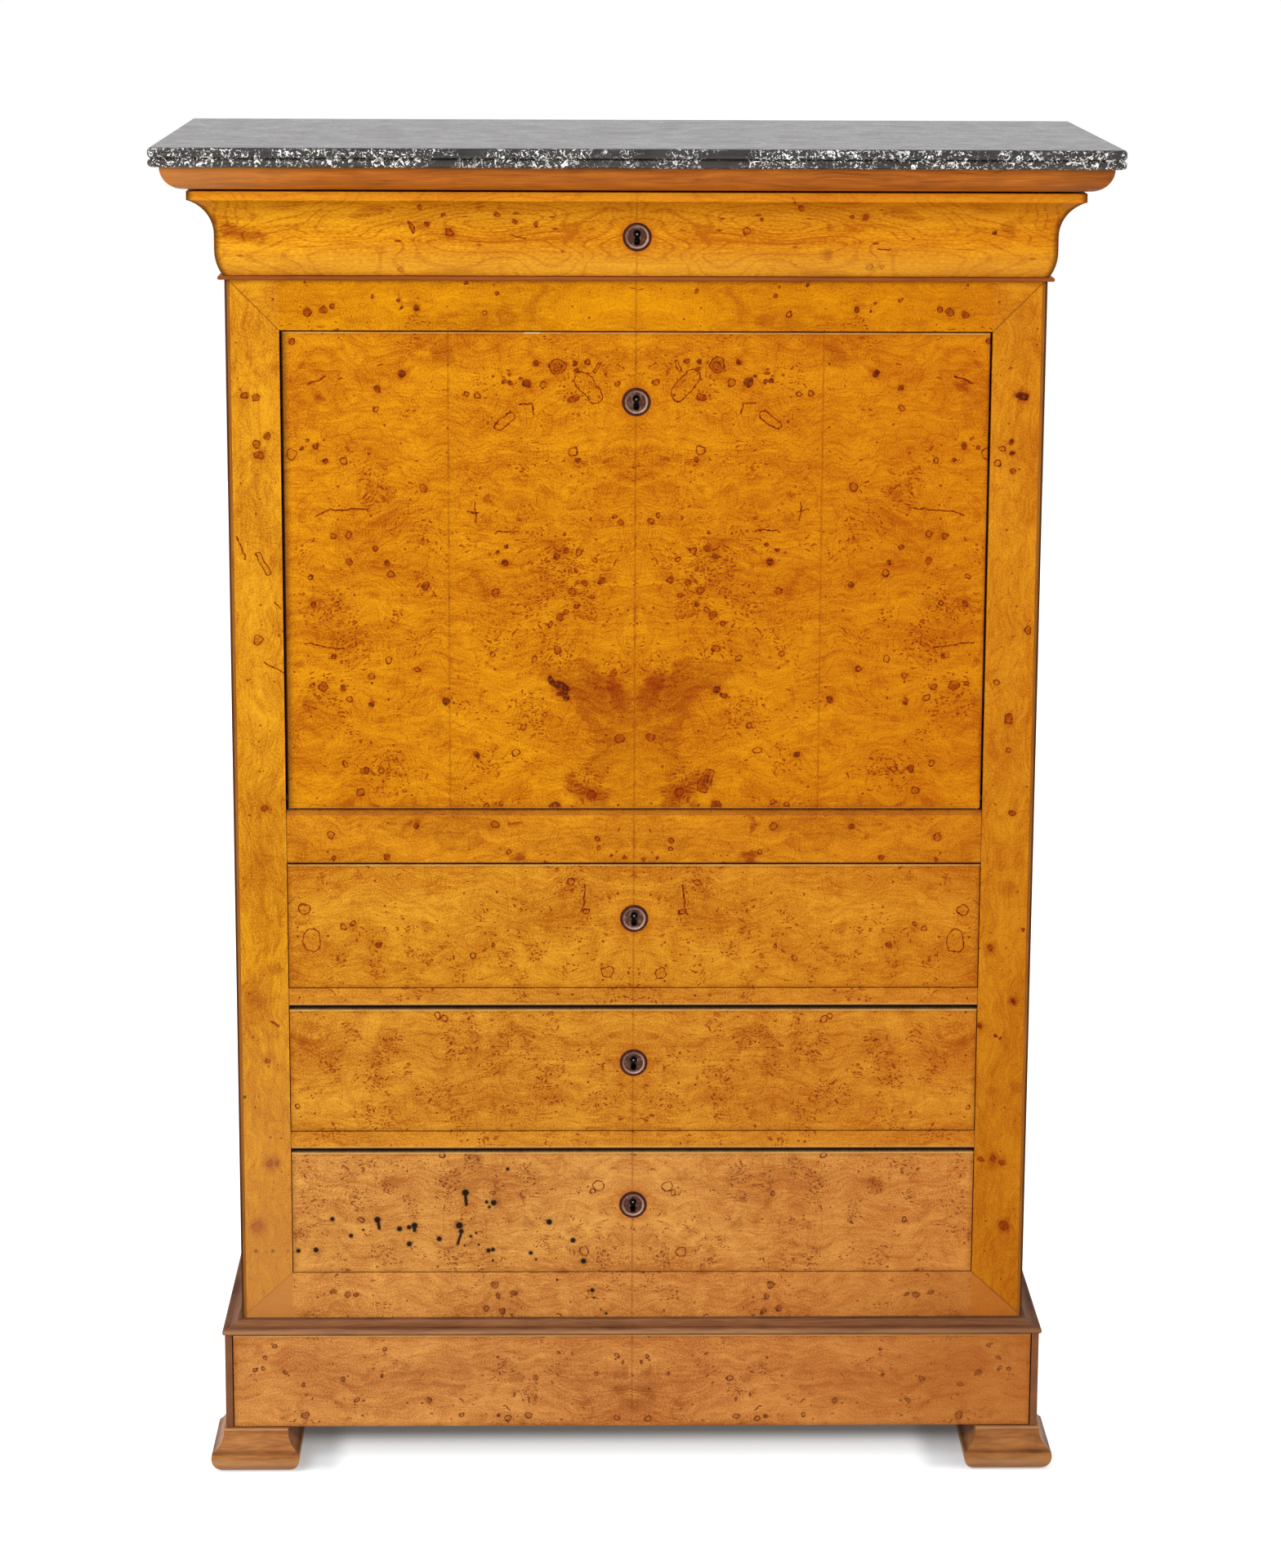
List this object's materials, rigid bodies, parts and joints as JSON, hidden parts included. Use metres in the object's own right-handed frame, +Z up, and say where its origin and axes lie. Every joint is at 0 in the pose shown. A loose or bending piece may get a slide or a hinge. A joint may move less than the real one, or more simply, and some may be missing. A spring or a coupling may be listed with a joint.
{
  "type": "fall-front secretary",
  "caption": "Tall burr-veneered secretary with a marble slab, a cyma frieze drawer, a hinged fall that opens into a writing desk, long drawers, a plinth drawer and moulded feet.",
  "frame": {"origin": "on the floor, under the middle of the marble slab", "axes": "+Z up; +Y towards the back, so the front faces -Y; +X to the right of someone facing the front"},
  "size_m": [1.036, 0.48, 1.509],
  "materials": {
    "burr_veneer": "burr veneer, worn wax and varnish polish",
    "reddish_moulding_wood": "reddish-brown polished wood",
    "dark_moulding_wood": "dark walnut, dry polish",
    "base_wood": "honey-brown polish",
    "carcass_oak": "bare oak, aged",
    "inner_wood": "light polished veneer",
    "grey_fossil_marble": "polished dark grey marble with pale fossils",
    "aged_brass": "dull aged brass",
    "lock_iron": "dark iron",
    "writing_leather": "matt writing leather"
  },
  "bodies": {
    "carcass": {"marble_top": "grey_fossil_marble", "cornice_moulding": "reddish_moulding_wood", "frieze_bead": "reddish_moulding_wood", "frieze_returns": "burr_veneer", "base_moulding": "dark_moulding_wood", "front_posts": "burr_veneer", "corner_strips": "reddish_moulding_wood", "pivot_plates": "aged_brass", "top_rail": "burr_veneer", "mid_rail": "burr_veneer", "drawer_rails": "burr_veneer", "bottom_rail": "burr_veneer", "side_panel_right": "burr_veneer", "side_panel_left": "burr_veneer", "top_board": "carcass_oak", "back_frame": "carcass_oak", "back_panels": "carcass_oak", "frieze_floor": "carcass_oak", "carcass_bottom": "carcass_oak", "dust_boards": "carcass_oak", "drawer_runners": "carcass_oak", "desk_floor": "inner_wood", "desk_linings": "inner_wood", "desk_fittings": "inner_wood", "plinth_frame": "base_wood", "front_feet": "base_wood", "rear_feet": "base_wood"},
    "fall": {"fall_panel": "burr_veneer", "fall_leather": "writing_leather", "fall_levers": "lock_iron", "fall_escutcheon": "aged_brass", "fall_lock": "lock_iron"},
    "fall_bolt": {"fall_bolt": "lock_iron"},
    "frieze_drawer": {"frieze_drawer_front": "burr_veneer", "frieze_drawer_box": "carcass_oak", "frieze_drawer_escutcheon": "aged_brass", "frieze_drawer_lock": "lock_iron"},
    "frieze_drawer_bolt": {"frieze_drawer_bolt": "lock_iron"},
    "drawer_1": {"drawer_1_front": "burr_veneer", "drawer_1_box": "carcass_oak", "drawer_1_escutcheon": "aged_brass", "drawer_1_lock": "lock_iron"},
    "drawer_1_bolt": {"drawer_1_bolt": "lock_iron"},
    "drawer_2": {"drawer_2_front": "burr_veneer", "drawer_2_box": "carcass_oak", "drawer_2_escutcheon": "aged_brass", "drawer_2_lock": "lock_iron"},
    "drawer_2_bolt": {"drawer_2_bolt": "lock_iron"},
    "drawer_3": {"drawer_3_front": "burr_veneer", "drawer_3_box": "carcass_oak", "drawer_3_escutcheon": "aged_brass", "drawer_3_lock": "lock_iron"},
    "drawer_3_bolt": {"drawer_3_bolt": "lock_iron"},
    "plinth_drawer": {"plinth_drawer_front": "burr_veneer", "plinth_drawer_box": "carcass_oak"},
    "small_drawer_left_lower": {"small_drawer_left_lower": "inner_wood"},
    "small_drawer_left_upper": {"small_drawer_left_upper": "inner_wood"},
    "small_drawer_right_lower": {"small_drawer_right_lower": "inner_wood"},
    "small_drawer_right_upper": {"small_drawer_right_upper": "inner_wood"}
  },
  "joints": [
    {"name": "fall_hinge", "type": "hinge", "parent": "carcass", "child": "fall", "pos_m": [0, -0.1585, 0.7864], "axis": [1, 0, 0], "range_deg": [0, 90]},
    {"name": "frieze_drawer_slide", "type": "slide", "parent": "carcass", "child": "frieze_drawer", "axis": [0, -1, 0], "range_m": [0, 0.28]},
    {"name": "drawer_1_slide", "type": "slide", "parent": "carcass", "child": "drawer_1", "axis": [0, -1, 0], "range_m": [0, 0.28]},
    {"name": "drawer_2_slide", "type": "slide", "parent": "carcass", "child": "drawer_2", "axis": [0, -1, 0], "range_m": [0, 0.28]},
    {"name": "drawer_3_slide", "type": "slide", "parent": "carcass", "child": "drawer_3", "axis": [0, -1, 0], "range_m": [0, 0.28]},
    {"name": "plinth_drawer_slide", "type": "slide", "parent": "carcass", "child": "plinth_drawer", "axis": [0, -1, 0], "range_m": [0, 0.28]},
    {"name": "small_drawer_left_lower_slide", "type": "slide", "parent": "carcass", "child": "small_drawer_left_lower", "axis": [0, -1, 0], "range_m": [0, 0.1]},
    {"name": "small_drawer_left_upper_slide", "type": "slide", "parent": "carcass", "child": "small_drawer_left_upper", "axis": [0, -1, 0], "range_m": [0, 0.1]},
    {"name": "small_drawer_right_lower_slide", "type": "slide", "parent": "carcass", "child": "small_drawer_right_lower", "axis": [0, -1, 0], "range_m": [0, 0.1]},
    {"name": "small_drawer_right_upper_slide", "type": "slide", "parent": "carcass", "child": "small_drawer_right_upper", "axis": [0, -1, 0], "range_m": [0, 0.1]},
    {"name": "fall_bolt_slide", "type": "slide", "parent": "fall", "child": "fall_bolt", "axis": [0, 0, 1], "range_m": [0, 0.009]},
    {"name": "frieze_drawer_bolt_slide", "type": "slide", "parent": "frieze_drawer", "child": "frieze_drawer_bolt", "axis": [0, 0, 1], "range_m": [0, 0.009]},
    {"name": "drawer_1_bolt_slide", "type": "slide", "parent": "drawer_1", "child": "drawer_1_bolt", "axis": [0, 0, 1], "range_m": [0, 0.009]},
    {"name": "drawer_2_bolt_slide", "type": "slide", "parent": "drawer_2", "child": "drawer_2_bolt", "axis": [0, 0, 1], "range_m": [0, 0.009]},
    {"name": "drawer_3_bolt_slide", "type": "slide", "parent": "drawer_3", "child": "drawer_3_bolt", "axis": [0, 0, 1], "range_m": [0, 0.009]}
  ]
}
